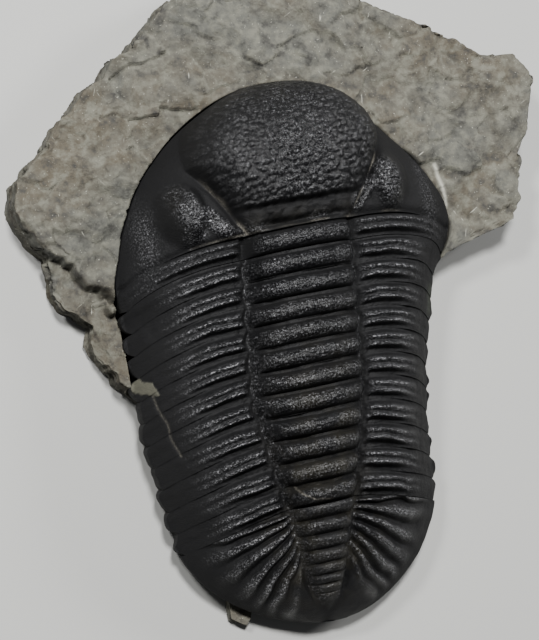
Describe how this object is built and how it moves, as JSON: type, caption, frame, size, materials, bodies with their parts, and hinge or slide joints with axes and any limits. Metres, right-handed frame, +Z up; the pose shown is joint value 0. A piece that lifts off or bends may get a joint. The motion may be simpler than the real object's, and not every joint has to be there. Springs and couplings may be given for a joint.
{
  "type": "trilobite fossil",
  "caption": "Black phacopid trilobite fossil with a tuberculate head, ringed axis and ribbed flanks, lying on the piece of grey limestone it was freed from.",
  "frame": {"origin": "middle of the bounding box, on the flat underside of the stone", "axes": "+Y towards the trilobite's head, +Z up, +X to its right side"},
  "size_m": [0.1396, 0.168, 0.0465],
  "materials": {
    "limestone": "matt broken limestone, grey to buff with pale calcite flecks",
    "fossil": "black calcite shell with a low granular sheen"
  },
  "bodies": {
    "root": {"matrix": "limestone", "cephalon": "fossil", "thoracic_segment_01": "fossil", "thoracic_segment_02": "fossil", "thoracic_segment_03": "fossil", "thoracic_segment_04": "fossil", "thoracic_segment_05": "fossil", "thoracic_segment_06": "fossil", "thoracic_segment_07": "fossil", "thoracic_segment_08": "fossil", "thoracic_segment_09": "fossil", "thoracic_segment_10": "fossil", "thoracic_segment_11": "fossil", "pygidium": "fossil"}
  },
  "joints": []
}
